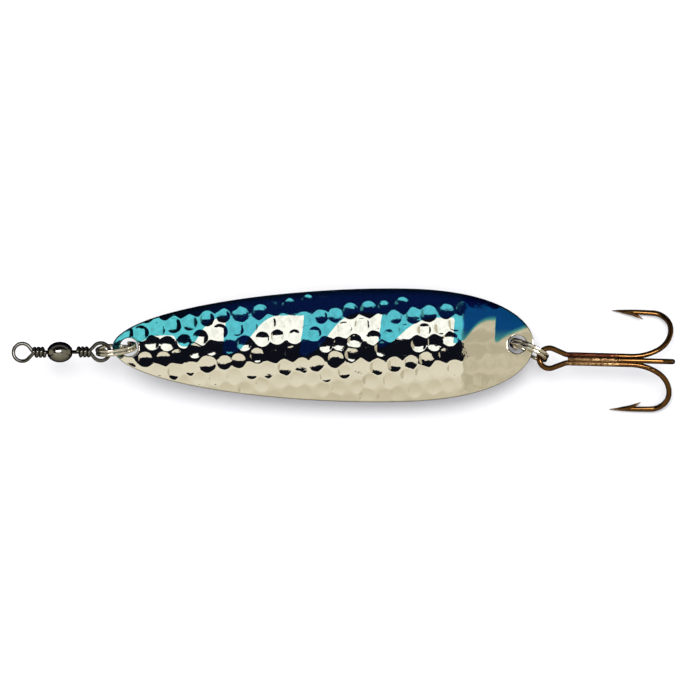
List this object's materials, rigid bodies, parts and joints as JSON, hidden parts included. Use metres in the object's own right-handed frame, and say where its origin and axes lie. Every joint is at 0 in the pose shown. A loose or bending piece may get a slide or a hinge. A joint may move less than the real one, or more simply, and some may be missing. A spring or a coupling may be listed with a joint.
{
  "type": "spoon lure",
  "caption": "Spoon fishing lure: a dished, hammered metal blade with a barrel swivel on its nose ring and a treble hook on its tail ring.",
  "frame": {"origin": "centre of the line eye, where the line is tied", "axes": "+X from the line eye back to the hook, along the swivel's spin axis; +Z out of the convex face of the blade"},
  "size_m": [0.1594, 0.0302, 0.0207],
  "materials": {
    "blade_nickel": "bright nickel, hammered, with blue lacquer along one side",
    "ring_nickel": "bright nickel plate",
    "black_nickel": "black nickel plate",
    "hook_bronze": "bronze lacquer on steel wire",
    "braze_metal": "brazing brass, as flowed"
  },
  "bodies": {
    "blade": {"blade": "blade_nickel"},
    "front_ring": {"front_split_ring": "ring_nickel"},
    "ring_eye": {"ring_eye": "black_nickel"},
    "barrel": {"swivel_barrel": "black_nickel"},
    "line_eye": {"line_eye": "black_nickel"},
    "rear_ring": {"rear_split_ring": "ring_nickel"},
    "treble": {"double_hook": "hook_bronze", "single_hook": "hook_bronze", "braze_seam": "braze_metal"}
  },
  "joints": [
    {"name": "front_ring_yaw", "type": "hinge", "parent": "blade", "child": "front_ring", "pos_m": [0.02568, 0.00108, 0], "axis": [0, 0, 1], "range_deg": [-68, 52]},
    {"name": "swivel_swing", "type": "hinge", "parent": "front_ring", "child": "ring_eye", "pos_m": [0.02255, 0.00064, 0], "axis": [-0.1371, 0.9752, 0.1736], "range_deg": [-85, 85]},
    {"name": "barrel_spin", "type": "hinge", "parent": "ring_eye", "child": "barrel", "pos_m": [0.01198, 0, 0], "axis": [1, 0, 0], "continuous": true},
    {"name": "line_eye_spin", "type": "hinge", "parent": "barrel", "child": "line_eye", "pos_m": [0.00608, 0, 0], "axis": [1, 0, 0], "continuous": true},
    {"name": "rear_ring_yaw", "type": "hinge", "parent": "blade", "child": "rear_ring", "pos_m": [0.11908, 0.00108, -0.00214], "axis": [0, 0, 1], "range_deg": [-34, 86]},
    {"name": "hook_swing", "type": "hinge", "parent": "rear_ring", "child": "treble", "pos_m": [0.12192, -0.00031, -0.00214], "axis": [0.4317, 0.8851, -0.1736], "range_deg": [-85, 85]}
  ]
}
